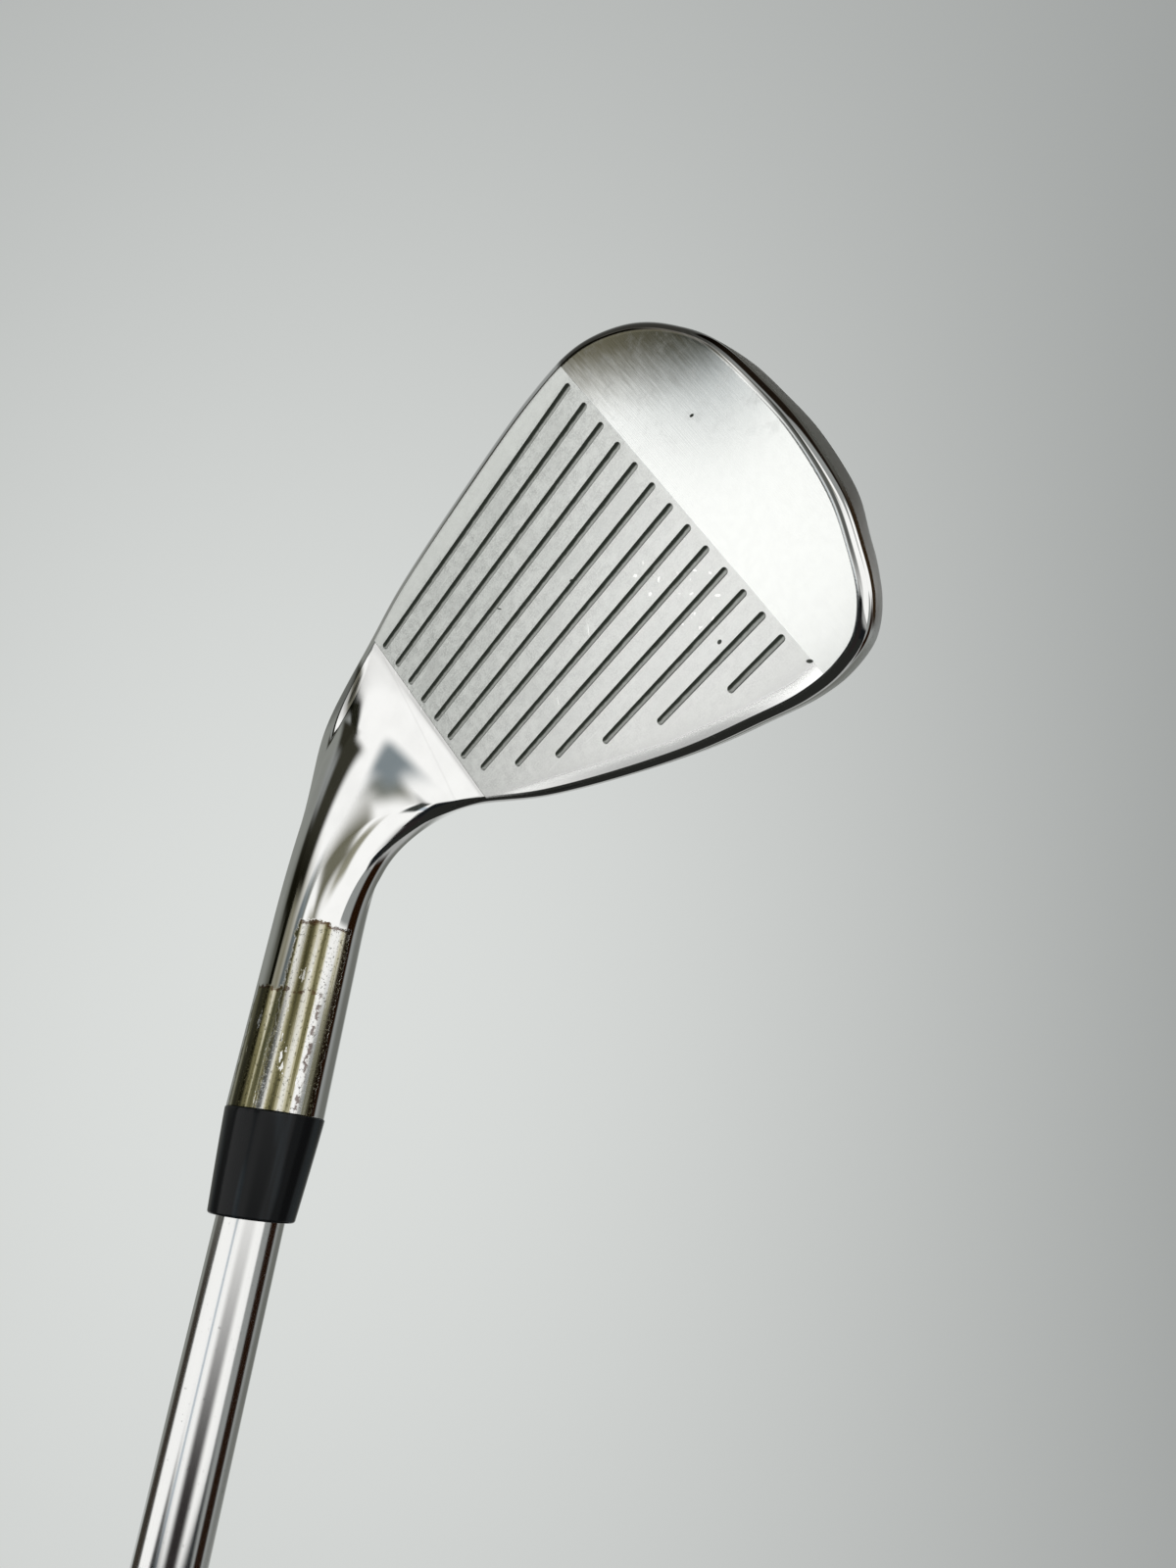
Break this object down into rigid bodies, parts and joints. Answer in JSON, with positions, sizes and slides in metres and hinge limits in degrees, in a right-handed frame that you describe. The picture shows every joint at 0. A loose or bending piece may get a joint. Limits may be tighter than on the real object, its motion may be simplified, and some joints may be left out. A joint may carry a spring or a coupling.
{
  "type": "golf club",
  "caption": "Right-handed mid iron golf club: forged head with score lines and a hosel, black ferrule, stepped steel shaft and rubber grip.",
  "frame": {"origin": "centre of the grip's flat butt end, on the shaft's axis, where a hand, a bag or a rack holds the club", "axes": "+Z along the shaft from the butt to the head, +X to the side of the toe, -Y to the side that the face looks to"},
  "size_m": [0.0992, 0.0423, 0.9711],
  "materials": {
    "head_chrome": "polished and satin chrome plate over forged steel, blasted hitting area",
    "shaft_chrome": "polished chrome plate over steel tube",
    "ferrule_plastic": "glossy black",
    "weight_brass": "turned",
    "tape_paper": "crepe paper tape",
    "grip_rubber": "matt black",
    "cap_rubber": "matt black, harder rubber"
  },
  "bodies": {
    "root": {"club_head": "head_chrome", "ferrule": "ferrule_plastic", "shaft": "shaft_chrome", "tip_weight": "weight_brass", "grip_tape": "tape_paper", "grip": "grip_rubber", "grip_end_cap": "cap_rubber"}
  },
  "joints": []
}
